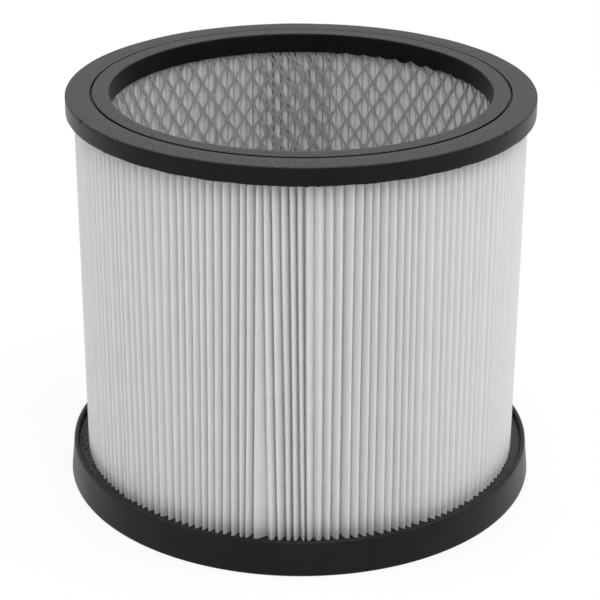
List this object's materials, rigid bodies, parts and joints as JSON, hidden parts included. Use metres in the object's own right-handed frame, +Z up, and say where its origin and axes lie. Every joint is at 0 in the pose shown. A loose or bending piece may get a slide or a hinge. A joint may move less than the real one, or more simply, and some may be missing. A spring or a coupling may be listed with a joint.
{
  "type": "vacuum cartridge filter",
  "caption": "Round pleated cartridge filter with an open mesh core, a moulded sealing ring on top and a rimmed pan below.",
  "frame": {"origin": "centre of the pan's underside, where the filter's axis meets the surface it stands on", "axes": "+Z up along the filter's axis, from the pan to the sealing ring; +X and +Y across it, with the mesh lap on the +Y side"},
  "size_m": [0.209, 0.209, 0.178],
  "materials": {
    "ring_rubber": "satin black moulded rubber with a fine speckle",
    "filter_cloth": "white nonwoven filter cloth",
    "mesh_steel": "dull grey galvanised expanded steel",
    "pan_plastic": "satin black moulded plastic",
    "potting": "black poured potting with a grainy surface"
  },
  "bodies": {
    "root": {"top_ring": "ring_rubber", "pleated_cloth": "filter_cloth", "mesh_core": "mesh_steel", "bottom_pan": "pan_plastic", "bottom_potting": "potting"}
  },
  "joints": []
}
